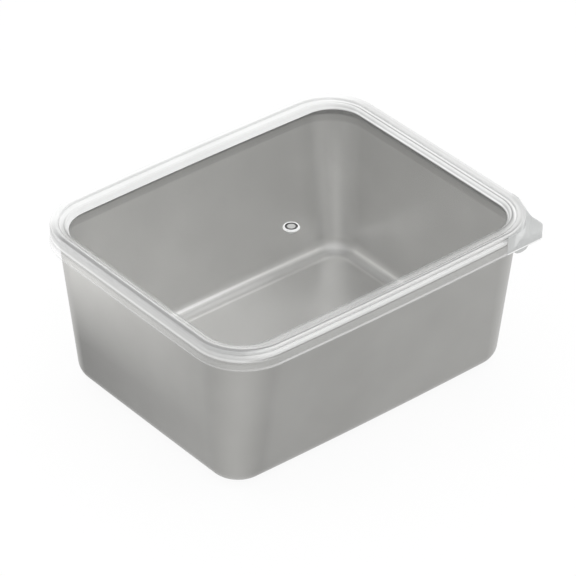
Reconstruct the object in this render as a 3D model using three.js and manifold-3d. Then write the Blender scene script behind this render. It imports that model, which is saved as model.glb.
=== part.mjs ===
import * as THREE from 'three';
import { mergeVertices } from 'three/addons/utils/BufferGeometryUtils.js';
import Module from 'manifold-3d';

const wasm = await Module();
wasm.setup();

// A drawn steel food pan with a clear press-down lid, a seal in the lid's channel and a vent plug
// Millimetres, Z up, base on Z = 0, long sides along X, pull corner of the lid at +X and -Y

// Lid plan, at the outer face of its skirt
const lidLength = 232;
const lidWidth = 191;
const lidCorner = 33;
const longSideBow = 0.9;
const shortSideBow = 0.15;

// Lid section
const totalHeight = 104.3;
const skirtHeight = 12.8;
const lidWall = 1.2;
const lipFlare = 0.5;
const shoulderRadius = 2.2;
const beadWidth = 5.2;
const ledgeDrop = 1.4;
const ledgeInset = 8.2;
const panelDrop = 4.6;
const panelInset = 10;
const longSideExtra = 2;
const ledgeCorner = 23.3;
const panelCorner = 21.5;
const snapBump = 0.2;

// Pan
const sheet = 0.6;
const rollDiameter = 3.2;
const rollGap = 0.4;
const rollOpening = 0.35;
const baseLength = 208.2;
const baseWidth = 155.4;
const baseCorner = 18.8;
const baseFillet = 10;

// Pull corner of the lid
const gripDrop = 7.3;
const rampSlope = 38;
const rampFoot = 35.6;
const gripChamfer = 6.8;
const stopLength = 10;
const stopDepth = 2.4;
const stopStart = 6;

// Seal and vent plug
const clearance = 0.3;
const sealThickness = 1.5;
const sealLegWidth = 1.25;
const sealLegDepth = 3.4;
const ventX = -1.5;
const ventY = -4.5;
const ventHole = 5;
const collarOuter = 9.4;
const collarInner = 7.4;
const collarHeight = 0.9;
const plugTravel = 1.2;
const plugHead = 0.5;
const plugBulb = 5.8;
const plugBulbHeight = 0.8;

// Fineness of the faceted surfaces
const cornerSteps = 8;
const sideSteps = 4;

// Levels that follow from the dimensions above
const lipLevel = totalHeight - skirtHeight;
const panelTop = totalHeight - panelDrop;
const panelUnder = panelTop - lidWall;
const ledgeTop = totalHeight - ledgeDrop;
const ledgeUnder = ledgeTop - lidWall;
const channelRoof = totalHeight - lidWall;
const sealTop = channelRoof - clearance;
const sealUnder = sealTop - sealThickness;
const rollRadius = rollDiameter / 2;
const rollCentre = sealUnder - clearance - rollRadius;
const mouthInset = lidWall + rollGap + rollDiameter;

// One closed outline of the plan: four round corners joined by slightly bowed sides
function planOutline(halfLength, halfWidth, corner) {
  const x = halfLength - corner;
  const y = halfWidth - corner;
  const quarter = Math.PI / 2;
  const side = (...points) =>
    new THREE.QuadraticBezierCurve(...points.map(([across, along]) => new THREE.Vector2(across, along)));
  const round = (centreX, centreY, start) =>
    new THREE.EllipseCurve(centreX, centreY, corner, corner, start * quarter, (start + 1) * quarter);
  const longControl = halfWidth + 2 * longSideBow;
  const shortControl = halfLength + 2 * shortSideBow;
  const pieces = [
    [side([halfLength, -y], [shortControl, 0], [halfLength, y]), sideSteps],
    [round(x, y, 0), cornerSteps],
    [side([x, halfWidth], [0, longControl], [-x, halfWidth]), sideSteps],
    [round(-x, y, 1), cornerSteps],
    [side([-halfLength, y], [-shortControl, 0], [-halfLength, -y]), sideSteps],
    [round(-x, -y, 2), cornerSteps],
    [side([-x, -halfWidth], [0, -longControl], [x, -halfWidth]), sideSteps],
    [round(x, -y, 3), cornerSteps],
  ];
  return pieces.flatMap(([curve, steps]) => curve.getPoints(steps).slice(0, -1));
}

// The outline lifted to a level
function ringAt(halfLength, halfWidth, corner, level) {
  const outline = planOutline(halfLength, halfWidth, corner);
  return outline.map((point) => new THREE.Vector3(point.x, point.y, level));
}

// A round ring about the vent whose points lie on the same rays as the points of another ring
function ventRing(rays, radius, level) {
  return rays.map((point) => {
    const angle = Math.atan2(point.y - ventY, point.x - ventX);
    return new THREE.Vector3(ventX + radius * Math.cos(angle), ventY + radius * Math.sin(angle), level);
  });
}

// Skin over a row of rings; its two ends are closed with flat faces, or joined to each other in a loop
function skin(rings, loop) {
  const count = rings[0].length;
  const positions = rings.flat().flatMap((point) => [point.x, point.y, point.z]);
  const triangles = [];
  const spans = loop ? rings.length : rings.length - 1;
  for (let row = 0; row < spans; row += 1) {
    const low = row * count;
    const high = ((row + 1) % rings.length) * count;
    for (let step = 0; step < count; step += 1) {
      const next = (step + 1) % count;
      triangles.push(low + step, low + next, high + next);
      triangles.push(low + step, high + next, high + step);
    }
  }
  if (!loop) {
    const last = (rings.length - 1) * count;
    const under = positions.length / 3;
    const over = under + 1;
    positions.push(0, 0, rings[0][0].z);
    positions.push(0, 0, rings[rings.length - 1][0].z);
    for (let step = 0; step < count; step += 1) {
      const next = (step + 1) % count;
      triangles.push(under, next, step);
      triangles.push(over, last + step, last + next);
    }
  }
  const geometry = new THREE.BufferGeometry();
  geometry.setAttribute('position', new THREE.Float32BufferAttribute(positions, 3));
  geometry.setIndex(triangles);
  geometry.computeVertexNormals();
  return geometry;
}

// Solid made from a closed geometry, for joining
function solidOf(geometry) {
  const bare = geometry.clone();
  bare.deleteAttribute('normal');
  if (bare.hasAttribute('uv')) {
    bare.deleteAttribute('uv');
  }
  const merged = mergeVertices(bare, 1e-4);
  const mesh = new wasm.Mesh({
    numProp: 3,
    vertProperties: new Float32Array(merged.attributes.position.array),
    triVerts: new Uint32Array(merged.index.array),
  });
  return new wasm.Manifold(mesh);
}

// Geometry of a joined solid
function geometryOf(solid) {
  const mesh = solid.getMesh();
  const geometry = new THREE.BufferGeometry();
  geometry.setAttribute('position', new THREE.Float32BufferAttribute(mesh.vertProperties, 3));
  geometry.setIndex(Array.from(mesh.triVerts));
  geometry.computeVertexNormals();
  return geometry;
}

// Pan: base, rounded base edge, drafted walls and an outward rolled rim, all of one sheet
const mouthHalfLength = lidLength / 2 - mouthInset;
const mouthHalfWidth = lidWidth / 2 - mouthInset;
const mouthCorner = lidCorner - mouthInset;

// Plan of the pan's wall at a level, drawn in by an inset from its outer face
function wallPlan(level, inset) {
  const share = level / rollCentre;
  return [
    baseLength / 2 + (mouthHalfLength + sheet - baseLength / 2) * share - inset,
    baseWidth / 2 + (mouthHalfWidth + sheet - baseWidth / 2) * share - inset,
    baseCorner + (mouthCorner + sheet - baseCorner) * share - inset,
    level,
  ];
}

// Rings of the rounded edge between wall and base, tangent to both, from the base up to the wall
function edgeRings(floor, inset, radius) {
  const onWall = wallPlan(floor + radius, inset);
  const atCorner = wallPlan(floor, inset);
  const onFloor = wallPlan(floor, inset + radius);
  const steps = 6;
  const pull = Math.SQRT1_2;
  const rings = [];
  for (let step = 0; step <= steps; step += 1) {
    const up = step / steps;
    const low = (1 - up) ** 2;
    const middle = 2 * pull * up * (1 - up);
    const high = up ** 2;
    const total = low + middle + high;
    const plan = onFloor.map((value, index) => {
      const sum = value * low + atCorner[index] * middle + onWall[index] * high;
      return sum / total;
    });
    rings.push(ringAt(...plan));
  }
  return rings;
}

// Ring of the rolled rim at an angle round the roll, where 180 degrees is the mouth side
function rollRing(radius, degrees) {
  const angle = THREE.MathUtils.degToRad(degrees);
  const out = rollRadius + radius * Math.cos(angle);
  const level = rollCentre + radius * Math.sin(angle);
  return ringAt(mouthHalfLength + out, mouthHalfWidth + out, mouthCorner + out, level);
}

function panGeometry() {
  const tip = -THREE.MathUtils.radToDeg(Math.acos((sheet + rollOpening - rollRadius) / rollRadius));
  const turns = 9;
  const rollAngles = [];
  for (let turn = 0; turn <= turns; turn += 1) {
    rollAngles.push(180 + ((tip - 180) * turn) / turns);
  }
  const inside = rollAngles.map((degrees) => rollRing(rollRadius - sheet, degrees));
  const outside = rollAngles.map((degrees) => rollRing(rollRadius, degrees)).reverse();
  const outerEdge = edgeRings(0, 0, baseFillet);
  const innerEdge = edgeRings(sheet, sheet, baseFillet - sheet).reverse();
  return skin([...outerEdge, ...inside, ...outside, ...innerEdge], false);
}

// Lid: skirt, rounded bead over the rolled rim, ledge, step and flat clear panel with the vent's collar
function lidRing(inset, level) {
  return ringAt(lidLength / 2 - inset, lidWidth / 2 - inset, lidCorner - inset, level);
}

// Rings inside the bead keep their own corner and sit further in along the long sides
function recessRing(inset, corner, level) {
  return ringAt(lidLength / 2 - inset, lidWidth / 2 - inset - longSideExtra, corner, level);
}

// Rings of a quarter round from one inset and level to another, bulging towards the given corner
function roundRings(start, corner, end) {
  const steps = 3;
  const curve = new THREE.QuadraticBezierCurve(
    new THREE.Vector2(...start),
    new THREE.Vector2(...corner),
    new THREE.Vector2(...end),
  );
  return curve.getPoints(steps).map((point) => lidRing(point.x, point.y));
}

function lidGeometry() {
  const shoulder = totalHeight - shoulderRadius;
  const wallAtBump = rollCentre - rollRadius - 1.2;
  const panelRays = recessRing(panelInset, panelCorner, panelTop);
  const inner = shoulderRadius - lidWall;
  const outerSkirt = [
    lidRing(-lipFlare, lipLevel),
    lidRing(-lipFlare, lipLevel + 0.9),
    lidRing(-0.1, lipLevel + 1.8),
    ...roundRings([0, shoulder], [0, totalHeight], [shoulderRadius, totalHeight]),
  ];
  const topSide = [
    ...roundRings(
      [beadWidth - 1, totalHeight],
      [beadWidth, totalHeight],
      [beadWidth + 0.2, totalHeight - 0.8],
    ),
    lidRing(beadWidth + 0.8, ledgeTop),
    recessRing(ledgeInset - 0.5, ledgeCorner + 0.5, ledgeTop),
    recessRing(ledgeInset, ledgeCorner, ledgeTop - 0.4),
    recessRing(panelInset - 0.6, panelCorner + 0.6, panelTop + 0.5),
    panelRays,
    ventRing(panelRays, collarOuter / 2, panelTop),
    ventRing(panelRays, collarOuter / 2 - 0.2, panelTop + collarHeight),
    ventRing(panelRays, collarInner / 2 + 0.2, panelTop + collarHeight),
    ventRing(panelRays, collarInner / 2, panelTop),
    ventRing(panelRays, ventHole / 2, panelTop),
  ];
  const underSide = [
    ventRing(panelRays, ventHole / 2, panelUnder),
    recessRing(panelInset - lidWall + 0.5, panelCorner + lidWall - 0.5, panelUnder),
    recessRing(panelInset - lidWall, panelCorner + lidWall, panelUnder + 0.4),
    recessRing(ledgeInset - lidWall, ledgeCorner + lidWall, ledgeUnder),
    lidRing(beadWidth + 0.6, ledgeUnder),
    lidRing(beadWidth - 0.4, channelRoof),
  ];
  const innerSkirt = [
    ...roundRings([lidWall + inner, channelRoof], [lidWall, channelRoof], [lidWall, channelRoof - inner]),
    lidRing(lidWall, wallAtBump + 0.8),
    lidRing(lidWall + snapBump, wallAtBump),
    lidRing(lidWall, wallAtBump - 0.8),
    lidRing(lidWall - lipFlare, lipLevel + 0.9),
    lidRing(lidWall - lipFlare, lipLevel),
  ];
  const body = solidOf(skin([...outerSkirt, ...topSide, ...underSide, ...innerSkirt], true));
  return geometryOf(gripSolids().reduce((whole, piece) => whole.add(piece), body));
}

// Plan of the square pull corner, drawn in by an inset; its inner edge lies inside the skirt's wall
function gripShape(inset, chamfer) {
  const right = lidLength / 2 + lipFlare - inset;
  const front = -lidWidth / 2 - lipFlare + inset;
  const centreX = lidLength / 2 - lidCorner;
  const centreY = -lidWidth / 2 + lidCorner;
  const inner = lidCorner - lidWall / 2;
  const shape = new THREE.Shape();
  shape.moveTo(centreX, centreY - inner);
  shape.lineTo(centreX, front);
  shape.lineTo(right - chamfer, front);
  shape.lineTo(right, front + chamfer);
  shape.lineTo(right, centreY);
  shape.lineTo(centreX + inner, centreY);
  shape.absarc(centreX, centreY, inner, 0, -Math.PI / 2, true);
  return shape;
}

// Flat web, turned-down flange, ramp up to the rim and small rounded finger stop of the pull corner
function gripSolids() {
  const flange = 1.1;
  const webTop = totalHeight - gripDrop;
  const extrude = (shape, depth) =>
    new THREE.ExtrudeGeometry(shape, { depth, bevelEnabled: false, curveSegments: 8 });
  const block = extrude(gripShape(0, gripChamfer), webTop - lipLevel);
  block.translate(0, 0, lipLevel);
  const right = lidLength / 2 + lipFlare - flange;
  const front = -lidWidth / 2 - lipFlare + flange;
  const narrow = gripChamfer - flange * (2 - Math.SQRT2);
  const hollowShape = new THREE.Shape();
  hollowShape.moveTo(0, 0);
  hollowShape.lineTo(0, front);
  hollowShape.lineTo(right - narrow, front);
  hollowShape.lineTo(right, front + narrow);
  hollowShape.lineTo(right, 0);
  const hollow = extrude(hollowShape, webTop - lidWall - lipLevel + 1);
  hollow.translate(0, 0, lipLevel - 1);
  const rampTop = totalHeight - lidWall - 0.3;
  const ramp = extrude(gripShape(lipFlare, gripChamfer), rampTop - webTop + lidWall);
  ramp.translate(0, 0, webTop - lidWall);
  const above = new THREE.BoxGeometry(120, 120, 40);
  above.translate(0, 0, 20);
  above.rotateY(THREE.MathUtils.degToRad(rampSlope));
  above.translate(rampFoot, 0, 0);
  above.rotateZ(-Math.PI / 4);
  above.translate(lidLength / 2 - lidCorner, -lidWidth / 2 + lidCorner, webTop);
  const stopShape = new THREE.Shape();
  stopShape.absellipse(0, 0, stopLength / 2, stopDepth, Math.PI, 2 * Math.PI, false);
  stopShape.lineTo(stopLength / 2, 1.5);
  stopShape.lineTo(-stopLength / 2, 1.5);
  const stop = extrude(stopShape, flange);
  stop.rotateX(Math.PI / 2);
  const stopX = lidLength / 2 - lidCorner + stopStart + stopLength / 2;
  stop.translate(stopX, front, lipLevel);
  return [solidOf(block).subtract(solidOf(hollow)), solidOf(ramp).subtract(solidOf(above)), solidOf(stop)];
}

// Seal: soft ring over the rolled rim, with two ribs on its back and a leg that hangs inside the pan's mouth
function sealGeometry() {
  const outer = lidWall + rollGap + 0.2;
  const inner = beadWidth - 1.1;
  const third = (inner - outer) / 3;
  const legOuter = mouthInset + clearance + 0.25;
  const legInner = legOuter + sealLegWidth;
  const legTop = ledgeUnder - clearance - 0.05;
  const legFoot = legTop - sealLegDepth;
  return skin([
    lidRing(outer + 0.3, sealUnder),
    lidRing(outer, sealUnder + 0.3),
    lidRing(outer, sealTop - 0.6),
    lidRing(outer + 0.5, sealTop - 0.1),
    lidRing(outer + third, sealTop),
    lidRing(outer + 1.4 * third, sealTop - 0.5),
    lidRing(outer + 1.6 * third, sealTop - 0.5),
    lidRing(outer + 2 * third, sealTop),
    lidRing(inner - 0.3, sealTop - 0.1),
    lidRing(inner, sealTop - 0.4),
    lidRing(legOuter, legTop),
    lidRing(legInner - 0.3, legTop),
    lidRing(legInner, legTop - 0.3),
    lidRing(legInner, legFoot + 0.4),
    lidRing(legInner - 0.3, legFoot),
    lidRing(legOuter + 0.3, legFoot),
    lidRing(legOuter, legFoot + 0.4),
    lidRing(legOuter, legTop - 0.8),
    lidRing(inner + 0.4, sealUnder),
  ], true);
}

// Vent plug: domed head inside the collar, stem through the panel and a bulb that keeps it from coming out
function plugGeometry() {
  const head = collarInner / 2 - clearance;
  const stem = ventHole / 2 - clearance;
  const headUnder = panelTop + clearance;
  const headTop = headUnder + plugHead;
  const bulbTop = panelUnder - plugTravel - clearance;
  const bulb = plugBulb / 2;
  const points = [
    [0, bulbTop - plugBulbHeight],
    [bulb * 0.5, bulbTop - plugBulbHeight],
    [bulb, bulbTop - plugBulbHeight * 0.5],
    [bulb, bulbTop],
    [stem, bulbTop],
    [stem, headUnder],
    [head, headUnder],
    [head, headTop - plugHead * 0.5],
    [head * 0.9, headTop - plugHead * 0.15],
    [head * 0.6, headTop],
    [0, headTop],
  ];
  const profile = points.map(([radius, level]) => new THREE.Vector2(radius, level));
  const geometry = new THREE.LatheGeometry(profile, 28);
  geometry.rotateX(Math.PI / 2);
  geometry.translate(ventX, ventY, 0);
  return geometry;
}

// Sub-parts with their own materials
function subPart(name, geometry, colour, roughness, metalness, opacity) {
  const material = new THREE.MeshStandardMaterial({ color: colour, roughness, metalness });
  material.transparent = opacity < 1;
  material.opacity = opacity;
  const mesh = new THREE.Mesh(geometry, material);
  mesh.name = name;
  return mesh;
}

const coveredPan = new THREE.Group();
coveredPan.add(subPart('pan', panGeometry(), 0xaeada9, 0.34, 1, 1));
coveredPan.add(subPart('lid', lidGeometry(), 0xeef0ef, 0.1, 0, 0.3));
coveredPan.add(subPart('seal_ring', sealGeometry(), 0xf0f0ec, 0.5, 0, 0.8));
coveredPan.add(subPart('vent_plug', plugGeometry(), 0xe6e6e2, 0.45, 0, 0.9));

export default coveredPan;
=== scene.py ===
import math

import bpy
import numpy as np
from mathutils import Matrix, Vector


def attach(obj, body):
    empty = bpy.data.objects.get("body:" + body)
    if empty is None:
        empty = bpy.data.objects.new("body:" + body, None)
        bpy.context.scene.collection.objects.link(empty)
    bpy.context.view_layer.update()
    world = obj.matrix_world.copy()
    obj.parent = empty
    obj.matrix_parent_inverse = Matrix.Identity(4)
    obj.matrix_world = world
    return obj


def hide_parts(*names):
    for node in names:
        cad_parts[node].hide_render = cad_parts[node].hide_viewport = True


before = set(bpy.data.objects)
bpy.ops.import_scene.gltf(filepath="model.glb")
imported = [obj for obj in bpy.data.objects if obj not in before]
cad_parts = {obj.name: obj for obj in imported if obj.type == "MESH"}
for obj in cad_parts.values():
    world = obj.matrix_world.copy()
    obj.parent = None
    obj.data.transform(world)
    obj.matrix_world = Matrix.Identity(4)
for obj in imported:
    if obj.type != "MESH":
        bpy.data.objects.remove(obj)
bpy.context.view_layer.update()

# A drawn steel food pan with a clear lid. Working lengths are in millimetres and go
# into the meshes in metres.
MM = 0.001

# Lid plan, at the outer face of its skirt
LID_HALF_LENGTH = 116.0
LID_HALF_WIDTH = 95.5
LID_CORNER = 33.0
LONG_SIDE_BOW = 0.9
SHORT_SIDE_BOW = 0.15

# Lid section
TOP = 104.3
LIP = 91.5
LID_WALL = 1.2
LIP_FLARE = 0.5
BEAD_WIDTH = 5.2
LEDGE = 102.9
PANEL = 99.7
LONG_SIDE_EXTRA = 2.0
LEDGE_INSET, LEDGE_CORNER = 8.2, 23.3
PANEL_INSET, PANEL_CORNER = 10.0, 21.5

# Pan
SHEET = 0.6
ROLL_RADIUS = 1.6
ROLL_LEVEL = 99.4
ROLL_TIP = -113.97
BASE_HALF_LENGTH, BASE_HALF_WIDTH, BASE_CORNER = 104.1, 77.7, 18.8
BASE_FILLET = 10.0
MOUTH_INSET = 4.8

# Pull corner of the lid
GRIP_WEB = 97.0
GRIP_FLANGE = 1.1
GRIP_CHAMFER = 6.8
GRIP_BEND = 2.0
RAMP_SLOPE = math.tan(math.radians(38))
RAMP_FOOT = 35.6
STOP_MIDDLE, STOP_HALF, STOP_DEPTH = 94.0, 5.0, 2.4

# Seal and vent
SEAL_TOP, SEAL_UNDER = 102.8, 101.3
SEAL_LEG_OUTER, SEAL_LEG_INNER = 5.35, 6.6
SEAL_LEG_TOP, SEAL_LEG_FOOT = 101.35, 97.95
VENT_X, VENT_Y = -1.5, -4.5
VENT_HOLE = 2.5
COLLAR_OUTER, COLLAR_INNER, COLLAR_HEIGHT = 4.7, 3.7, 0.9
PLUG_TRAVEL = 1.2
PLUG_HEAD, PLUG_BULB, PLUG_BULB_HEIGHT = 0.5, 2.9, 0.8
CLEARANCE = 0.3

# Fineness of the surfaces
SIDE_STEPS = 28
CORNER_STEPS = 60
SHOULDER_ROWS = 2
EDGE_ROWS = 42
SHARP_ANGLE = math.radians(40)

# The band along a side of the lid that has that side's own painted highlight and shade lines; the back
# of the rim, where its painted lines fade and it is painted milky white, a painted highlight; and the
# row of the pull corner painted as a highlight
SIDE_BAND = 12.0
FADE_AT_BACK = 0.85
BACK_PAINTED_WHITE = 0.92
GRIP_HIGHLIGHT_ROW = 9


def plan_columns():
    """Coefficients of the plan's outline, one per column, anticlockwise from the start of the +X side.

    A point is x = ax (half length - corner) + bx corner + ex, and the same for y: corners are arcs,
    where bx and by are the cosine and sine of the arc's angle, and sides are parabolas that bow out
    by four bow t (1 - t)."""
    t = np.arange(SIDE_STEPS) / SIDE_STEPS
    arc = np.arange(CORNER_STEPS) / CORNER_STEPS * np.pi / 2
    bulge = 4 * t * (1 - t)
    flat, one = np.zeros(SIDE_STEPS), np.ones(SIDE_STEPS)
    rows = []
    for quarter, (sx, sy) in enumerate([(1, 1), (-1, 1), (-1, -1), (1, -1)]):
        run = 2 * t - 1
        side = [
            (one, one, SHORT_SIDE_BOW * bulge, run, flat, flat),
            (-run, flat, flat, one, one, LONG_SIDE_BOW * bulge),
            (-one, -one, -SHORT_SIDE_BOW * bulge, -run, flat, flat),
            (run, flat, flat, -one, -one, -LONG_SIDE_BOW * bulge),
        ][quarter]
        angle = arc + quarter * np.pi / 2
        none, whole = np.zeros(CORNER_STEPS), np.ones(CORNER_STEPS)
        corner = (sx * whole, np.cos(angle), none, sy * whole, np.sin(angle), none)
        rows += [np.array(side), np.array(corner)]
    return np.concatenate(rows, axis=1)


COLUMNS = plan_columns()
COLUMN_COUNT = COLUMNS.shape[1]
LAST_CORNER = COLUMN_COUNT - CORNER_STEPS


def rings(half_length, half_width, corner, level):
    """Rings of the plan's outline, one for each entry of the four lists: rows of rings, columns of
    points."""
    ax, bx, ex, ay, by, ey = COLUMNS
    length, width, round_, height = (
        np.asarray(v, float).reshape(-1, 1) for v in (half_length, half_width, corner, level)
    )
    x = ax * (length - round_) + bx * round_ + ex
    y = ay * (width - round_) + by * round_ + ey
    return np.stack([x, y, np.broadcast_to(height, x.shape)], axis=-1)


def section_rings(section):
    """Rings of a section given as rows of inset in x, inset in y, corner radius and level."""
    inset_x, inset_y, corner, level = np.asarray(section, float).T
    return rings(LID_HALF_LENGTH - inset_x, LID_HALF_WIDTH - inset_y, corner, level)


def softened(points, reaches, steps=5):
    """A section whose corners are rounded: each point with a reach gives way to a parabola that
    starts that far before it on the line from its neighbour and ends that far after it on the line
    to the next."""
    points = np.asarray(points, float)
    rows = [points[:1]]
    for before, here, after, reach in zip(points[:-2], points[1:-1], points[2:], reaches[1:-1]):
        if reach == 0:
            rows.append(here[None])
            continue
        back, on = before - here, after - here
        start = here + back * min(0.5, reach / np.linalg.norm(back))
        end = here + on * min(0.5, reach / np.linalg.norm(on))
        t = np.linspace(0, 1, steps)[:, None]
        rows.append(start * (1 - t) ** 2 + here * 2 * t * (1 - t) + end * t**2)
    rows.append(points[-1:])
    return np.concatenate(rows)


def band_faces(first, second):
    """Quads between two closed rows of vertex numbers, facing out where the rows run anticlockwise
    and rise."""
    return np.stack([first, np.roll(first, -1), np.roll(second, -1), second], axis=-1)


def grid_faces(numbers):
    """Quads between the neighbours of a table of vertex numbers."""
    low, high = numbers[:-1], numbers[1:]
    return np.stack([low[:, :-1], low[:, 1:], high[:, 1:], high[:, :-1]], axis=-1).reshape(-1, 4)


def make_piece(name, points, faces, materials, indices=None):
    """A mesh object at the origin from points in millimetres and lists of faces, shaded smooth up to
    the sharp angle."""
    mesh = bpy.data.meshes.new(name)
    mesh.from_pydata((np.asarray(points) * MM).tolist(), [], [list(f) for f in faces])
    for material in materials:
        mesh.materials.append(material)
    if indices is not None:
        mesh.polygons.foreach_set("material_index", np.asarray(indices, np.int32))
    mesh.validate()
    mesh.shade_smooth()
    mesh.set_sharp_from_angle(angle=SHARP_ANGLE)
    mesh.update()
    obj = bpy.data.objects.new(name, mesh)
    bpy.context.scene.collection.objects.link(obj)
    return obj


def carry(obj, name, values):
    """Values that the points of a piece carry for its materials."""
    layer = obj.data.attributes.new(name, "FLOAT", "POINT")
    layer.data.foreach_set("value", np.asarray(values, np.float32))


# Lid section, and the way along it from the lip to the clear panel


def bead(inset, level):
    """A point of the section on a ring that follows the lid's outer plan."""
    return (inset, inset, LID_CORNER - inset, level)


def recess(inset, corner, level):
    """A point of the section on a ring inside the bead, which has its own corner and sits further in
    at the long sides."""
    return (inset, inset + LONG_SIDE_EXTRA, corner, level)


LID_OUTER = softened(
    [bead(0.1, LIP), bead(-LIP_FLARE, LIP), bead(-LIP_FLARE, LIP + 0.9), bead(0, LIP + 1.8),
     bead(0, TOP), bead(BEAD_WIDTH, TOP), bead(BEAD_WIDTH + 0.5, LEDGE),
     recess(LEDGE_INSET, LEDGE_CORNER, LEDGE), recess(PANEL_INSET, PANEL_CORNER, PANEL),
     recess(PANEL_INSET + 2.4, PANEL_CORNER - 2.4, PANEL)],
    [0, 0.25, 0.4, 0.4, 2.2, 0.8, 0.45, 0.6, 0.7, 0], 6,
)


def way_along(section):
    """Distance along a section from its start to each of its points, as a share of the whole."""
    steps = np.hypot(np.diff(section[:, 0]), np.diff(section[:, 3]))
    way = np.concatenate([[0], np.cumsum(steps)])
    return way / way[-1]


LID_WAY = way_along(LID_OUTER)


def way_to(inset, level):
    """Share of the way along the lid's section at which it passes nearest to an inset and a level."""
    fine = np.linspace(0, 1, 4001)
    off_inset = np.interp(fine, LID_WAY, LID_OUTER[:, 0]) - inset
    off_level = np.interp(fine, LID_WAY, LID_OUTER[:, 3]) - level
    return float(fine[np.argmin(np.hypot(off_inset, off_level))])


# How the clear rim looks along its section: inset, level, cloudy share and its tone. The share is
# partly the moulding's clouding and partly painted highlight bands; the tone paints dark shade lines
# and light highlight lines
RIM_CLOUD_AND_PAINTED_LINES = [
    (0.1, 91.5, 0.10, 0.6),
    (-0.5, 91.9, 0.12, 0.6),
    (-0.5, 92.3, 0.45, 1.0),
    (-0.3, 92.9, 0.40, 1.0),
    (0, 93.6, 0.10, 0.9),
    (0, 97.6, 0.10, 0.9),
    (0, 98.0, 0.24, 0.15),
    (0, 98.6, 0.24, 0.15),
    (0, 99.1, 0.50, 1.0),
    (0, 101.2, 0.46, 1.0),
    (0.1, 102.2, 0.20, 0.95),
    (0.5, 103.2, 0.16, 0.9),
    (1.0, 103.9, 0.42, 1.0),
    (1.6, 104.2, 0.42, 1.0),
    (1.9, 104.3, 0.5, 0.15),
    (2.7, 104.3, 0.5, 0.15),
    (3.2, 104.3, 0.20, 0.95),
    (4.4, 104.3, 0.20, 0.95),
    (4.9, 104.1, 0.24, 0.2),
    (5.4, 103.4, 0.24, 0.2),
    (5.7, 102.9, 0.45, 1.0),
    (6.5, 102.9, 0.26, 1.0),
    (7.2, 102.9, 0.22, 0.95),
    (7.8, 102.8, 0.24, 0.2),
    (8.3, 102.4, 0.80, 1.0),
    (9.0, 101.4, 0.80, 1.0),
    (9.5, 100.5, 0.90, 1.0),
    (9.9, 99.9, 0.65, 0.9),
    (10.4, 99.7, 0.10, 0.4),
    (12.2, 99.7, 0.02, 0.5),
]

# The same for the left side, where the painted white highlight line on the skirt sits lower and the
# bead is painted darker as shade
LEFT_CLOUD_AND_PAINTED_LINES = [
    (-0.5, 91.9, 0.12, 0.7),
    (-0.5, 92.2, 0.45, 1.0),
    (-0.4, 92.6, 0.14, 0.9),
    (0, 93.6, 0.13, 0.9),
    (0, 95.2, 0.13, 0.9),
    (0, 95.8, 0.18, 0.4),
    (0, 96.8, 0.18, 0.4),
    (0, 97.4, 0.50, 0.9),
    (0, 98.2, 0.70, 0.96),
    (0, 98.9, 0.65, 0.88),
    (0, 99.6, 0.70, 0.66),
    (0, 101.3, 0.70, 0.62),
    (0, 102.1, 0.80, 0.50),
    (0.5, 103.2, 0.80, 0.56),
    (0.8, 103.7, 0.85, 0.50),
    (1.1, 104.0, 0.90, 0.28),
    (2.5, 104.3, 0.90, 0.27),
    (3.0, 104.3, 0.70, 0.40),
    (3.4, 104.3, 0.30, 0.90),
    (4.5, 104.3, 0.22, 0.90),
] + RIM_CLOUD_AND_PAINTED_LINES[18:]

# And for the right side, where the bead is painted paler and the step has finer painted highlight and
# shade lines
RIGHT_CLOUD_AND_PAINTED_LINES = RIM_CLOUD_AND_PAINTED_LINES[:9] + [
    (0, 101.6, 0.62, 0.74),
    (0.7, 103.6, 0.64, 0.77),
    (1.6, 104.2, 0.68, 0.74),
    (3.0, 104.3, 0.68, 0.64),
    (4.7, 104.2, 0.62, 0.86),
    (5.2, 103.6, 0.65, 0.66),
    (5.5, 103.2, 0.65, 0.62),
    (5.7, 102.9, 0.70, 1.0),
    (6.3, 102.9, 0.80, 1.0),
    (6.8, 102.9, 0.70, 0.80),
    (7.2, 102.9, 0.80, 0.34),
    (7.6, 102.9, 0.80, 0.32),
    (8.0, 102.7, 0.85, 1.0),
    (8.3, 102.4, 0.85, 1.0),
    (8.8, 101.5, 0.85, 0.66),
    (9.0, 101.1, 0.85, 0.66),
    (9.3, 100.6, 0.95, 1.0),
    (9.6, 100.0, 0.90, 0.85),
    (9.9, 99.9, 0.65, 0.55),
    (10.2, 99.7, 0.35, 0.12),
    (10.9, 99.7, 0.28, 0.12),
    (11.6, 99.7, 0.06, 0.40),
    (12.2, 99.7, 0.02, 0.50),
]


# Materials


def new_material(name):
    """A material with its node tree and the shader that it starts with."""
    material = bpy.data.materials.new(name)
    material.use_nodes = True
    return material, material.node_tree, material.node_tree.nodes["Principled BSDF"]


def node(tree, kind, **values):
    """A node with its properties and, for names that are sockets, its inputs' values."""
    made = tree.nodes.new(kind)
    for key, value in values.items():
        if key in made.inputs:
            made.inputs[key].default_value = value
        else:
            setattr(made, key, value)
    return made


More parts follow.
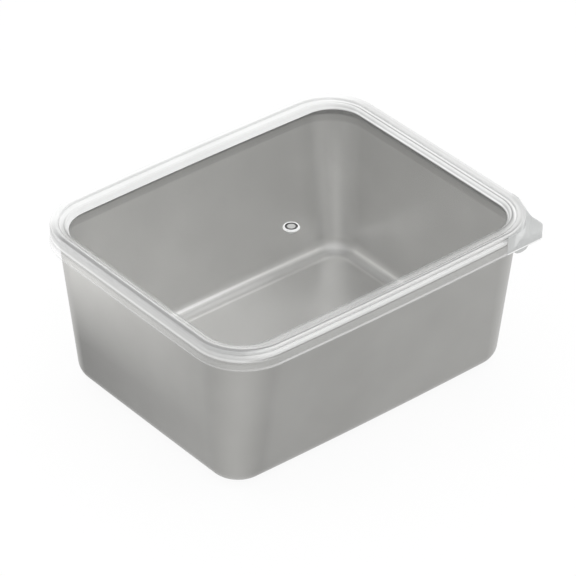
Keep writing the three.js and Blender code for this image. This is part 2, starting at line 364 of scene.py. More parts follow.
def grain_group():
    """Fine grain and broad clouding of a surface, both about 0.5, from its own coordinates."""
    group = bpy.data.node_groups.new("surface_grain", "ShaderNodeTree")
    face = group.interface
    face.new_socket("Vector", in_out="INPUT", socket_type="NodeSocketVector")
    face.new_socket("Fine Scale", in_out="INPUT", socket_type="NodeSocketFloat")
    face.new_socket("Broad Scale", in_out="INPUT", socket_type="NodeSocketFloat")
    face.new_socket("Fine", in_out="OUTPUT", socket_type="NodeSocketFloat")
    face.new_socket("Broad", in_out="OUTPUT", socket_type="NodeSocketFloat")
    start = group.nodes.new("NodeGroupInput")
    end = group.nodes.new("NodeGroupOutput")
    for scale, out, detail in (("Fine Scale", "Fine", 3.0), ("Broad Scale", "Broad", 2.0)):
        noise = node(group, "ShaderNodeTexNoise", Detail=detail, Roughness=0.55)
        group.links.new(start.outputs["Vector"], noise.inputs["Vector"])
        group.links.new(start.outputs[scale], noise.inputs["Scale"])
        group.links.new(noise.outputs["Fac"], end.inputs[out])
    return group


GRAIN = grain_group()
GRAIN_LOW, GRAIN_HIGH = 0.3, 0.7
STEEL_GRAIN = (1600.0, 22.0)
PLASTIC_GRAIN = (900.0, 30.0)


def add_grain(tree, fine, broad):
    """The grain group placed in a material, reading Object coordinates."""
    place = tree.nodes.new("ShaderNodeTexCoord")
    grain = tree.nodes.new("ShaderNodeGroup")
    grain.node_tree = GRAIN
    grain.inputs["Fine Scale"].default_value = fine
    grain.inputs["Broad Scale"].default_value = broad
    tree.links.new(place.outputs["Object"], grain.inputs["Vector"])
    return grain


def spread(tree, source, low, high, to_low, to_high):
    """A value carried from one range to another."""
    ramp = node(tree, "ShaderNodeMapRange")
    for name, value in (("From Min", low), ("From Max", high), ("To Min", to_low), ("To Max", to_high)):
        ramp.inputs[name].default_value = value
    tree.links.new(source, ramp.inputs["Value"])
    return ramp.outputs["Result"]


def add_bump(tree, shader, height, strength, distance):
    """A bump from a height, on a shader's normal."""
    bump = node(tree, "ShaderNodeBump", Strength=strength, Distance=distance)
    tree.links.new(height, bump.inputs["Height"])
    tree.links.new(bump.outputs["Normal"], shader.inputs["Normal"])


def tone_ramp(tree, source, stops):
    """Colours and shares at places along a value from 0 to 1."""
    ramp = tree.nodes.new("ShaderNodeValToRGB")
    marks = ramp.color_ramp.elements
    marks.remove(marks[1])
    for number, (place, colour) in enumerate(stops):
        mark = marks[0] if number == 0 else marks.new(place)
        mark.position = place
        mark.color = colour
    tree.links.new(source, ramp.inputs["Fac"])
    return ramp


STEEL_METALLIC = 0.85
STEEL_SPREAD = 0.04


def satin_steel(name, dark, light, rough):
    """Satin sheet with a fine even grain and faint clouding, toned by the painted light and shade that
    the pan's points carry."""
    material, tree, shader = new_material(name)
    shader.inputs["Metallic"].default_value = STEEL_METALLIC
    grain = add_grain(tree, *STEEL_GRAIN)
    mix = node(tree, "ShaderNodeMix", data_type="RGBA")
    mix.inputs[6].default_value = (*dark, 1)
    mix.inputs[7].default_value = (*light, 1)
    clouding = spread(tree, grain.outputs["Broad"], GRAIN_LOW, GRAIN_HIGH, 0, 1)
    tree.links.new(clouding, mix.inputs[0])
    tone = node(tree, "ShaderNodeAttribute", attribute_name="sheet_painted_light")
    toned = node(tree, "ShaderNodeMix", data_type="RGBA", blend_type="MULTIPLY")
    toned.inputs[0].default_value = 1.0
    tree.links.new(mix.outputs[2], toned.inputs[6])
    tree.links.new(tone.outputs["Color"], toned.inputs[7])
    tree.links.new(toned.outputs[2], shader.inputs["Base Color"])
    smooth, coarse = rough - STEEL_SPREAD, rough + STEEL_SPREAD
    satin = spread(tree, grain.outputs["Fine"], GRAIN_LOW, GRAIN_HIGH, smooth, coarse)
    tree.links.new(satin, shader.inputs["Roughness"])
    add_bump(tree, shader, grain.outputs["Fine"], 0.06, 0.0002)
    return material


PLASTIC_SPREAD = 0.05
PLASTIC_CLOUDING = 0.95
CLOUD_POWER, GLOSS_POWER = 3.0, 5.0


def clear_plastic(name, cloud, edge, colour, rough, glint, sheen, traces=()):
    """Thin clear moulding: light goes straight through all but a cloudy share of it, cloud + edge f
    cubed, where f is 1 less the cosine of the angle of view. A gloss lies on top, of the share
    glint + (sheen - glint) f to the fifth, where there is any. Traces take the place of cloud: they
    give the cloudy share and its tone along the lid's section, all round and then on the sides that
    the points' weights name. The share is partly clouding and partly painted highlight; the tones paint
    highlight and shade lines, which fade at the back of the rim, where the share is painted milky
    white."""
    material, tree, shader = new_material(name)
    grain = add_grain(tree, *PLASTIC_GRAIN)
    mix = node(tree, "ShaderNodeMix", data_type="RGBA")
    mix.inputs[6].default_value = (*[c * PLASTIC_CLOUDING for c in colour], 1)
    mix.inputs[7].default_value = (*colour, 1)
    clouding = spread(tree, grain.outputs["Broad"], GRAIN_LOW, GRAIN_HIGH, 0, 1)
    tree.links.new(clouding, mix.inputs[0])
    body = mix.outputs[2]
    slant = node(tree, "ShaderNodeLayerWeight", Blend=0.5)
    cube = node(tree, "ShaderNodeMath", operation="POWER")
    cube.inputs[1].default_value = CLOUD_POWER
    tree.links.new(slant.outputs["Facing"], cube.inputs[0])
    share = node(tree, "ShaderNodeMath", operation="MULTIPLY_ADD", use_clamp=True)
    share.inputs[1].default_value = edge
    share.inputs[2].default_value = cloud
    tree.links.new(cube.outputs[0], share.inputs[0])
    if traces:
        way = node(tree, "ShaderNodeAttribute", attribute_name="section_way")
        lines = cloudy = None
        for weight, trace in traces:
            stops = [
                (way_to(inset, level), (tone, tone, tone, part)) for inset, level, part, tone in trace
            ]
            ramp = tone_ramp(tree, way.outputs["Fac"], stops)
            if weight is None:
                lines, cloudy = ramp.outputs["Color"], ramp.outputs["Alpha"]
                continue
            side = node(tree, "ShaderNodeAttribute", attribute_name=weight)
            tones = node(tree, "ShaderNodeMix", data_type="RGBA")
            shares = node(tree, "ShaderNodeMix", data_type="FLOAT")
            tree.links.new(side.outputs["Fac"], tones.inputs[0])
            tree.links.new(side.outputs["Fac"], shares.inputs[0])
            tree.links.new(lines, tones.inputs[6])
            tree.links.new(ramp.outputs["Color"], tones.inputs[7])
            tree.links.new(cloudy, shares.inputs[2])
            tree.links.new(ramp.outputs["Alpha"], shares.inputs[3])
            lines, cloudy = tones.outputs[2], shares.outputs[0]
        # The trace tones tint the colour with painted highlight and shade lines
        tint = node(tree, "ShaderNodeMix", data_type="RGBA", blend_type="MULTIPLY")
        strength = node(tree, "ShaderNodeAttribute", attribute_name="painted_line_strength")
        tree.links.new(strength.outputs["Fac"], tint.inputs[0])
        tree.links.new(body, tint.inputs[6])
        tree.links.new(lines, tint.inputs[7])
        body = tint.outputs[2]
        facing = tree.nodes.new("ShaderNodeNewGeometry")
        front = node(tree, "ShaderNodeMath", operation="MULTIPLY")
        tree.links.new(cloudy, front.inputs[0])
        tree.links.new(spread(tree, facing.outputs["Backfacing"], 0, 1, 1, 0), front.inputs[1])
        # At the back of the rim the share goes to a painted milky white, a painted highlight
        cloud_and_back_light = node(tree, "ShaderNodeMix", data_type="FLOAT")
        cloud_and_back_light.inputs[2].default_value = BACK_PAINTED_WHITE
        tree.links.new(strength.outputs["Fac"], cloud_and_back_light.inputs[0])
        tree.links.new(front.outputs[0], cloud_and_back_light.inputs[3])
        tree.links.new(cloud_and_back_light.outputs[0], share.inputs[2])
    tree.links.new(body, shader.inputs["Base Color"])
    coarse = rough + PLASTIC_SPREAD
    matt = spread(tree, grain.outputs["Fine"], GRAIN_LOW, GRAIN_HIGH, rough, coarse)
    tree.links.new(matt, shader.inputs["Roughness"])
    through = tree.nodes.new("ShaderNodeBsdfTransparent")
    milky = tree.nodes.new("ShaderNodeMixShader")
    tree.links.new(share.outputs[0], milky.inputs[0])
    tree.links.new(through.outputs[0], milky.inputs[1])
    tree.links.new(shader.outputs[0], milky.inputs[2])
    surface = tree.nodes["Material Output"].inputs["Surface"]
    if sheen == 0:
        tree.links.new(milky.outputs[0], surface)
        return material
    gloss = node(tree, "ShaderNodeBsdfGlossy", Roughness=rough)
    power = node(tree, "ShaderNodeMath", operation="POWER")
    power.inputs[1].default_value = GLOSS_POWER
    tree.links.new(slant.outputs["Facing"], power.inputs[0])
    glossy = tree.nodes.new("ShaderNodeMixShader")
    tree.links.new(spread(tree, power.outputs[0], 0, 1, glint, sheen), glossy.inputs[0])
    tree.links.new(milky.outputs[0], glossy.inputs[1])
    tree.links.new(gloss.outputs[0], glossy.inputs[2])
    tree.links.new(glossy.outputs[0], surface)
    return material


RIM_SIDES = [(None, RIM_CLOUD_AND_PAINTED_LINES), ("left_share", LEFT_CLOUD_AND_PAINTED_LINES), ("right_share", RIGHT_CLOUD_AND_PAINTED_LINES)]
STEEL = satin_steel("satin_steel", (0.385, 0.382, 0.369), (0.42, 0.417, 0.404), 0.32)
# The inside is a lighter copy of the same steel: painted light
STEEL_INSIDE_PAINTED_LIGHT = satin_steel("satin_steel_inside_painted_light", (0.645, 0.643, 0.631), (0.715, 0.713, 0.7), 0.34)
# The rolled rim is a still lighter copy of the same steel: a painted highlight
STEEL_ROLL_PAINTED_HIGHLIGHT = satin_steel("satin_steel_roll_painted_highlight", (0.74, 0.738, 0.73), (0.78, 0.778, 0.77), 0.4)
RIM = clear_plastic("clear_rim_plastic", 0.0, 0.5, (0.93, 0.935, 0.93), 0.12, 0.04, 0.4, RIM_SIDES)
UNDER = clear_plastic("clear_inside_plastic", 0.0, 0.04, (0.93, 0.935, 0.93), 0.14, 0.0, 0.0)
CLEAR = clear_plastic("clear_panel_plastic", 0.01, 0.1, (0.88, 0.885, 0.88), 0.02, 0.02, 0.6)
GRIP = clear_plastic("clear_grip_plastic", 0.75, 0.2, (0.56, 0.57, 0.567), 0.14, 0.03, 0.4)
# The collar is painted milky white as the highlight on its ring
COLLAR_HIGHLIGHT = clear_plastic("clear_collar_highlight", 0.9, 0.1, (0.97, 0.975, 0.97), 0.1, 0.03, 0.4)
# The collar's inner wall is painted near black as the shade in the gap round the plug
COLLAR_PAINTED_SHADE = clear_plastic("clear_collar_painted_shade", 0.96, 0.04, (0.015, 0.015, 0.015), 0.3, 0.0, 0.1)
SEAL = clear_plastic("seal_silicone", 0.95, 0.05, (0.58, 0.58, 0.572), 0.5, 0.0, 0.1)
PLUG = clear_plastic("plug_silicone", 0.1, 0.15, (0.86, 0.865, 0.86), 0.25, 0.04, 0.5)
# The plug's top is a lighter copy of its silicone: painted light
PLUG_TOP_PAINTED_LIGHT = clear_plastic("plug_silicone_top_painted_light", 0.32, 0.15, (0.9, 0.905, 0.9), 0.25, 0.04, 0.5)
# The rim of the plug's head is painted near black as the shade in the gap to the collar
PLUG_PAINTED_SHADE = clear_plastic("plug_silicone_painted_shade", 0.85, 0.1, (0.03, 0.03, 0.03), 0.3, 0.0, 0.1)


# Pan

# Levels and tones of painted shade up the inner wall at the mouth, where the lid's rim and the seal's
# leg shade it
NECK_PAINTED_SHADE = [(88.0, 1.0), (89.2, 0.82), (92.4, 0.78), (93.6, 0.4), (99.0, 0.35)]

# Tones along the base edge inside, from the floor to the wall: painted highlight lines at the start and
# the end of the bend, with painted shade between them
EDGE_HIGHLIGHTS_AND_SHADE = [
    (0.0, 1.0), (0.05, 1.05), (0.11, 1.32), (0.18, 0.9), (0.25, 0.72), (0.44, 0.7),
    (0.53, 0.98), (0.6, 1.85), (0.67, 1.1), (0.78, 1.0), (1.0, 1.0),
]


# Painted reflection and shade on the sheet outside. Left wall: its gain and shade, the level where it
# turns from dark to light, the climb from there to full gain, and its lowest value. Front wall: its
# shade and its gain to the right
LEFT_GAIN, LEFT_SHADE = 0.78, 0.165
LEFT_TURN, LEFT_CLIMB, LEFT_FOOT = 48.0, 45.0, -0.4
FRONT_GAIN, FRONT_SHADE = 0.045, 0.185

# Painted light and shade inside: walls, corners, the painted highlight streak up each corner, the base
# edge and the floor
INNER_TONE, BACK_GAIN, RIGHT_SHADE, CORNER_SHADE = 1.12, 0.07, 0.2, 0.07
STREAK_GAIN, STREAK_POWER, STREAK_TOP, STREAK_FADE = 0.25, 20, 95.0, 45.0
HIGHLIGHT_REACH, BEND_SHADE = 120.0, 0.34
FLOOR_TONE, FLOOR_SLOPE = 0.85, 0.07


def wall_plan(level, inset):
    """Plan of the pan's wall: half length, half width and corner radius grow in straight lines from
    base to mouth."""
    level, inset = np.broadcast_arrays(np.asarray(level, float), np.asarray(inset, float))
    share = level / ROLL_LEVEL
    low = np.array([BASE_HALF_LENGTH, BASE_HALF_WIDTH, BASE_CORNER])
    mouth = np.array([LID_HALF_LENGTH, LID_HALF_WIDTH, LID_CORNER]) - MOUTH_INSET + SHEET
    plan = low + (mouth - low) * share[:, None] - inset[:, None]
    return np.column_stack([plan, level])


def base_edge(floor, inset, radius, steps=18):
    """The rounded edge between base and wall: a conic from the floor to the wall, tangent to both."""
    levels, insets = [floor, floor, floor + radius], [inset + radius, inset, inset]
    on_floor, at_corner, on_wall = wall_plan(levels, insets)
    t = np.linspace(0, 1, steps)[:, None]
    low, middle, high = (1 - t) ** 2, math.sqrt(2) * t * (1 - t), t**2
    return (low * on_floor + middle * at_corner + high * on_wall) / (low + middle + high)


def roll(radius, angles):
    """Rings round the rolled rim, where 180 degrees is the mouth side and 90 the top."""
    turn = np.radians(angles)
    out = ROLL_RADIUS + radius * np.cos(turn)
    mouth = np.array([LID_HALF_LENGTH, LID_HALF_WIDTH, LID_CORNER]) - MOUTH_INSET
    return np.column_stack([mouth + out[:, None], ROLL_LEVEL + radius * np.sin(turn)])


# How far round a corner each column is: 1 in its middle and 0 along the sides
CORNER_TURN = 2 * np.abs(COLUMNS[1] * COLUMNS[4])


def near_wall(table, axis, sign):
    """How much a point belongs to one wall of the pan: 1 within a base corner's radius of the lid's
    side there, falling to 0 at two radii. At a corner it can be 1 for both walls."""
    reach = (LID_HALF_LENGTH, LID_HALF_WIDTH)[axis] - 2 * BASE_CORNER
    return np.clip((sign * table[..., axis] - reach) / BASE_CORNER, 0, 1)


def outer_painted_light(table):
    """Painted reflection and shade on the drawn sheet outside, which fade round the corners: the left
    wall lightens from foot to mouth, most towards the back, and the front wall is darker than the
    corners, most of all at its left end."""
    x, y, z = np.moveaxis(table, -1, 0)
    climb = np.clip((z - LEFT_TURN) / LEFT_CLIMB, LEFT_FOOT, 1)
    left = LEFT_GAIN * np.clip((y + 70) / 130, 0, 1) * climb - LEFT_SHADE
    front = FRONT_GAIN * np.clip((x + 50) / 120, 0, 1) - FRONT_SHADE
    walls = left * near_wall(table, 0, -1) + front * near_wall(table, 1, -1)
    return 1 + walls * (1 - CORNER_TURN)


def inner_painted_light(table):
    """Painted light and shade inside: the whole is lighter, the back wall a little lighter still and
    the right wall and corners darker, and a narrow painted highlight streak runs up the middle of each
    corner and fades towards the mouth."""
    fade = np.clip((STREAK_TOP - table[..., 2]) / STREAK_FADE, 0, 1)
    streak = STREAK_GAIN * CORNER_TURN**STREAK_POWER * fade
    walls = BACK_GAIN * near_wall(table, 1, 1) - RIGHT_SHADE * near_wall(table, 0, 1)
    return INNER_TONE + walls - CORNER_SHADE * CORNER_TURN + streak


def edge_painted_light(table):
    """Painted highlight lines and painted shade along the base edge inside, whose highlights fade
    towards the back corner and round the corners, where the middle of the bend is painted darker; and
    the floor, painted darker overall and to the right."""
    way = np.linspace(1, 0, len(table))[:, None]
    tone = np.interp(way, *np.transpose(EDGE_HIGHLIGHTS_AND_SHADE))
    from_corner = np.hypot(table[..., 0] - BASE_HALF_LENGTH, table[..., 1] - BASE_HALF_WIDTH)
    highlight_strength = np.clip(from_corner / HIGHLIGHT_REACH, 0.35, 1.4) * (1 - CORNER_TURN)
    lines = np.maximum(tone - 1, 0) * highlight_strength + np.minimum(tone - 1, 0)
    shade = 1 - BEND_SHADE * CORNER_TURN * np.sin(np.pi * way)
    floor = FLOOR_TONE - FLOOR_SLOPE * table[..., 0] / BASE_HALF_LENGTH
    return (1 + lines) * shade * (inner_painted_light(table) * way + floor * (1 - way))


def make_pan():
    """One sheet carried up its section: base edge, outer wall, inside and outside of the roll, inner
    wall, floor."""
    angles = np.linspace(180, ROLL_TIP, 34)
    neck_levels, neck_shades = np.transpose(NECK_PAINTED_SHADE)
    outer_levels = np.linspace(BASE_FILLET, ROLL_LEVEL, 9)[1:-1]
    inner_levels = np.append(np.linspace(BASE_FILLET, neck_levels[0], 8)[1:-1], neck_levels)[::-1]
    outside = [base_edge(0, 0, BASE_FILLET), wall_plan(outer_levels, 0)]
    curl = [roll(ROLL_RADIUS - SHEET, angles), roll(ROLL_RADIUS, angles[::-1])]
    edge = base_edge(SHEET, SHEET, BASE_FILLET - SHEET, EDGE_ROWS)[::-1]
    table = rings(*np.concatenate([*outside, *curl, wall_plan(inner_levels, SHEET), edge]).T)
    count = len(table)
    numbers = np.arange(count * COLUMN_COUNT).reshape(count, COLUMN_COUNT)
    faces = np.concatenate([band_faces(numbers[i], numbers[i + 1]) for i in range(count - 1)])
    caps = [numbers[0][::-1].tolist(), numbers[-1].tolist()]
    to_roll = len(outside[0]) + len(outer_levels) + len(angles)
    to_mouth = to_roll + len(angles)
    steels = [STEEL, STEEL_INSIDE_PAINTED_LIGHT, STEEL_ROLL_PAINTED_HIGHLIGHT]
    outer_kind, inner_kind, roll_kind = range(len(steels))
    kinds = np.full(count - 1, inner_kind)
    kinds[:to_roll] = outer_kind
    kinds[to_roll : to_mouth - 1] = roll_kind
    indices = np.append(np.repeat(kinds, COLUMN_COUNT), [outer_kind, inner_kind])
    pan = make_piece("steel_pan", table.reshape(-1, 3), faces.tolist() + caps, steels, indices)
    # Painted light and shade on the sheet: outside, at the neck, on the walls inside and along the base
    # edge
    tones = np.ones(table.shape[:2])
    outer = slice(0, to_roll - len(angles))
    inner = slice(to_mouth, count - EDGE_ROWS)
    tones[outer] = outer_painted_light(table[outer])
    # Painted shade at the neck, under the lid's rim and the seal's leg
    tones[to_mouth - 1] = neck_shades[-1]
    neck = np.interp(inner_levels, neck_levels, neck_shades)[:, None]
    tones[inner] = inner_painted_light(table[inner]) * neck
    tones[-EDGE_ROWS:] = edge_painted_light(table[-EDGE_ROWS:])
    carry(pan, "sheet_painted_light", tones.ravel())
    return pan


pan = make_pan()
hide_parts("pan")
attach(pan, "pan")


# Lid


def vent_rings(rays, radii, levels):
    """Circles about the vent whose points lie on the rays to the points of another ring."""
    angle = np.arctan2(rays[:, 1] - VENT_Y, rays[:, 0] - VENT_X)
    radius, level = np.asarray(radii)[:, None], np.asarray(levels)[:, None]
    x = VENT_X + radius * np.cos(angle)
    y = VENT_Y + radius * np.sin(angle)
    return np.stack([x, y, np.broadcast_to(level, x.shape)], axis=-1)


def pull_corner(skirt_low, skirt_high):
    """The square pull corner as a table of points: columns follow the lid's round corner, and rows run
    from the skirt's foot up to the pocket's roof, out to the flange, down and round its edge, over
    the flat web and the ramp and back to the skirt below its shoulder. The outline is where each ray
    from the corner's middle meets the square with its cut corner; the ramp is a plane that rises
    towards the lid along the diagonal."""
    middle = np.array([LID_HALF_LENGTH - LID_CORNER, -LID_HALF_WIDTH + LID_CORNER])
    ray = skirt_low[:, :2] - middle
    ray = ray / np.linalg.norm(ray, axis=1)[:, None]
    reach = LID_CORNER + LIP_FLARE
    along_x, along_y = np.maximum(ray[:, 0], 1e-9), np.maximum(-ray[:, 1], 1e-9)
    square = np.minimum(reach / along_x, reach / along_y)
    diagonal = (ray[:, 0] - ray[:, 1]) / math.sqrt(2)
    cut = (2 * reach - GRIP_CHAMFER) / math.sqrt(2) / diagonal
    outline = np.minimum(square, cut)
    wall = np.full(len(ray), LID_CORNER)
    low, high = skirt_low[:, 2], skirt_high[:, 2]

    room = outline - GRIP_FLANGE - wall
    flange = np.maximum(outline - GRIP_FLANGE, wall + 0.02)
    rise = np.clip(room / 2.0, 0, 1)
    roof = low + 0.05 + (GRIP_WEB - LID_WALL - low - 0.05) * rise * rise * (3 - 2 * rise)

    front = middle[0] + outline * ray[:, 0]
    bulge = np.clip(1 - ((front - STOP_MIDDLE) / STOP_HALF) ** 2, 0, 1)
    on_front = bulge * (ray[:, 1] < -ray[:, 0])
    edge = LIP - STOP_DEPTH * np.sqrt(on_front)

    def top(radius):
        ramp = GRIP_WEB + (RAMP_FOOT - radius * diagonal) * RAMP_SLOPE
        return np.clip(ramp, GRIP_WEB, high - 0.05)

    rows = [
        (wall, low),
        (wall, roof - 0.25 * rise),
        (wall + 0.2 * rise, roof),
        (flange - 0.2 * rise, roof),
        (flange, roof - 0.25 * rise),
        (flange, edge + 0.15),
        (flange + 0.15, edge),
        (outline - 0.2, edge),
        (outline, edge + 0.2),
        (outline, np.full(len(ray), LIP + 0.3)),
        (outline, np.full(len(ray), LIP + 1.0)),
    ]
    bend = np.minimum(GRIP_BEND, 0.3 + 0.6 * np.maximum(outline - wall - LIP_FLARE, 0))
    for turn in np.linspace(0, np.pi / 2, 7):
        radius = outline - bend * (1 - np.cos(turn))
        rows.append((radius, top(radius) - bend * (1 - np.sin(turn))))
    for share in np.linspace(0.1, 0.98, 9):
        radius = outline - bend + (wall - outline + bend) * share
        rows.append((radius, top(radius)))
    rows += [(wall, top(wall) + 0.02), (np.linalg.norm(skirt_high[:, :2] - middle, axis=1), high)]
    radius = np.array([r for r, _ in rows])
    level = np.array([z for _, z in rows])
    x = middle[0] + radius * ray[:, 0]
    y = middle[1] + radius * ray[:, 1]
    return np.stack([x, y, level], axis=-1)


def side_weight(points, axis, sign):
    """How much a point belongs to one side of the lid: 1 in a band along the side, falling to 0 at a
    corner's radius from it."""
    reach = (LID_HALF_LENGTH, LID_HALF_WIDTH)[axis]
    return np.clip((sign * points[:, axis] - reach + LID_CORNER) / (LID_CORNER - SIDE_BAND), 0, 1)


def make_lid():
    """One closed skin carried round the plan: skirt, bead, ledge, step and clear panel with the vent's
    collar on top, then back underneath, with the pull corner let into the skirt at one corner."""
    bump = ROLL_LEVEL - ROLL_RADIUS - 1.2
    inner = softened(
        [recess(PANEL_INSET - LID_WALL + 1.2, PANEL_CORNER + LID_WALL - 1.2, PANEL - LID_WALL),
         recess(PANEL_INSET - LID_WALL, PANEL_CORNER + LID_WALL, PANEL - LID_WALL),
         recess(LEDGE_INSET - LID_WALL, LEDGE_CORNER + LID_WALL, LEDGE - LID_WALL),
         bead(BEAD_WIDTH + 0.6, LEDGE - LID_WALL), bead(BEAD_WIDTH - 0.4, TOP - LID_WALL),
         bead(LID_WALL, TOP - LID_WALL), bead(LID_WALL, bump + 0.8), bead(LID_WALL + 0.2, bump),
         bead(LID_WALL, bump - 0.8), bead(LID_WALL - LIP_FLARE, LIP + 0.9),
         bead(LID_WALL - LIP_FLARE, LIP), bead(0.1, LIP)],
        [0, 0.6, 0.4, 0.4, 0.4, 1.0, 0.3, 0.4, 0.3, 0.4, 0.2, 0], 5,
    )[:-1]
    outer_rings, inner_rings = section_rings(LID_OUTER), section_rings(inner)
    rays = outer_rings[-1]
    collar_top = PANEL + COLLAR_HEIGHT
    over = vent_rings(
        rays,
        [COLLAR_OUTER + 1.0, COLLAR_OUTER + 0.3, COLLAR_OUTER, COLLAR_OUTER - 0.1,
         COLLAR_OUTER - 0.25, COLLAR_INNER + 0.25, COLLAR_INNER + 0.1, COLLAR_INNER,
         COLLAR_INNER - 0.2, VENT_HOLE + 0.1, VENT_HOLE],
        [PANEL, PANEL, PANEL + 0.2, PANEL + 0.7,
         collar_top, collar_top, PANEL + 0.75, PANEL + 0.2,
         PANEL, PANEL, PANEL - 0.1],
    )
    under = vent_rings(
        rays,
        [VENT_HOLE, VENT_HOLE + 0.1, VENT_HOLE + 0.8],
        [PANEL - LID_WALL + 0.1, PANEL - LID_WALL, PANEL - LID_WALL],
    )
    table = np.concatenate([outer_rings, over, under, inner_rings])
    count = len(table)
    numbers = np.arange(count * COLUMN_COUNT).reshape(count, COLUMN_COUNT)
    bands = [band_faces(numbers[i], numbers[(i + 1) % count]) for i in range(count)]
    plastics = [RIM, CLEAR, UNDER, GRIP, COLLAR_HIGHLIGHT, COLLAR_PAINTED_SHADE]
    rim_kind, clear_kind, under_kind, grip_kind, highlight_kind, collar_shade_kind = range(len(plastics))
    collar, inside = len(outer_rings), len(outer_rings) + len(over)
    collar_inside, collar_foot = collar + 6, collar + 8
    kinds = np.full(count, under_kind)
    kinds[:collar] = rim_kind
    # The collar's outer wall and top carry the painted highlight, its inner wall the painted shade
    kinds[collar:collar_inside] = highlight_kind
    kinds[collar_inside:collar_foot] = collar_shade_kind
    kinds[[collar - 1, collar, inside + len(under) - 1]] = clear_kind

    # The upright band of the skirt, from above the flared lip to below the shoulder, opens at the
    # pull corner
    skirt = int(np.argmax(np.diff(LID_OUTER[:, 3])))
    columns = np.append(np.arange(LAST_CORNER, COLUMN_COUNT), 0)
    above = skirt + 1 + SHOULDER_ROWS
    grip = pull_corner(table[skirt][columns], table[above][columns])
    points = np.concatenate([table.reshape(-1, 3), grip[1:-1].reshape(-1, 3)])
    grip_numbers = np.empty(grip.shape[:2], int)
    grip_numbers[0], grip_numbers[-1] = numbers[skirt][columns], numbers[above][columns]
    added = np.arange(grip[1:-1, :, 0].size).reshape(-1, len(columns))
    grip_numbers[1:-1] = count * COLUMN_COUNT + added
    for row in range(skirt, above):
        bands[row] = bands[row][:LAST_CORNER]
    faces = np.concatenate([*bands, grid_faces(grip_numbers)]).tolist()
    shoulder = numbers[skirt + 1 : above]
    ends = [
        grip_numbers[:, 0][::-1].tolist() + shoulder[:, LAST_CORNER].tolist(),
        grip_numbers[:, -1].tolist() + shoulder[::-1, 0].tolist(),
    ]
    sizes = [len(b) for b in bands]
    grip_kinds = np.full(len(grip) - 1, grip_kind)
    # One row of the pull corner is painted white as a highlight
    grip_kinds[GRIP_HIGHLIGHT_ROW] = highlight_kind
    grip_kinds = np.repeat(grip_kinds, len(columns) - 1)
    indices = np.concatenate([np.repeat(kinds, sizes), grip_kinds, [under_kind] * len(ends)])
    lid = make_piece("clear_lid", points, faces + ends, plastics, indices)
    way = np.zeros(len(points))
    way[: collar * COLUMN_COUNT] = np.repeat(LID_WAY, COLUMN_COUNT)
    carry(lid, "section_way", way)
    carry(lid, "left_share", side_weight(points, 0, -1))
    carry(lid, "right_share", side_weight(points, 0, 1))
    # The painted lines fade at the back of the rim, where it is painted milky white as a highlight
    rim = (way > way_to(0.6, TOP - 0.9)) & (way < way_to(PANEL_INSET + 0.4, PANEL))
    carry(lid, "painted_line_strength", 1 - FADE_AT_BACK * rim * side_weight(points, 1, 1))
    return lid


lid = make_lid()
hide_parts("lid")
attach(lid, "lid")


# Seal ring in the lid's channel


def make_seal():
    """A ring of soft section carried round the plan: two ribs on its back and a leg that hangs inside
    the mouth."""
    outer, inner = 1.8, BEAD_WIDTH - 1.1
    third = (inner - outer) / 3
    loop = [
        bead(outer + 1, SEAL_UNDER), bead(outer, SEAL_UNDER), bead(outer, SEAL_TOP),
        bead(outer + third, SEAL_TOP), bead(outer + 1.5 * third, SEAL_TOP - 0.55),
        bead(outer + 2 * third, SEAL_TOP), bead(inner, SEAL_TOP - 0.05),
        bead(SEAL_LEG_OUTER, SEAL_LEG_TOP), bead(SEAL_LEG_INNER, SEAL_LEG_TOP),
        bead(SEAL_LEG_INNER, SEAL_LEG_FOOT), bead(SEAL_LEG_OUTER, SEAL_LEG_FOOT),
        bead(SEAL_LEG_OUTER, SEAL_LEG_TOP - 0.8), bead(inner + 0.4, SEAL_UNDER),
        bead(outer + 1, SEAL_UNDER),
    ]
    reaches = [0, 0.3, 0.5, 0.3, 0.3, 0.3, 0.4, 0.3, 0.3, 0.4, 0.4, 0.2, 0.2, 0]
    section = softened(loop, reaches)[:-1]
    table = section_rings(section)
    count = len(table)
    numbers = np.arange(count * COLUMN_COUNT).reshape(count, COLUMN_COUNT)
    faces = np.concatenate([band_faces(numbers[i], numbers[(i + 1) % count]) for i in range(count)])
    return make_piece("seal_ring_soft", table.reshape(-1, 3), faces.tolist(), [SEAL])


seal = make_seal()
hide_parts("seal_ring")
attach(seal, "lid")


# Vent plug
PLUG_STEPS = 64
# Share of the head's radius beyond which its rim is painted dark as shade
PLUG_FLAT = 0.68


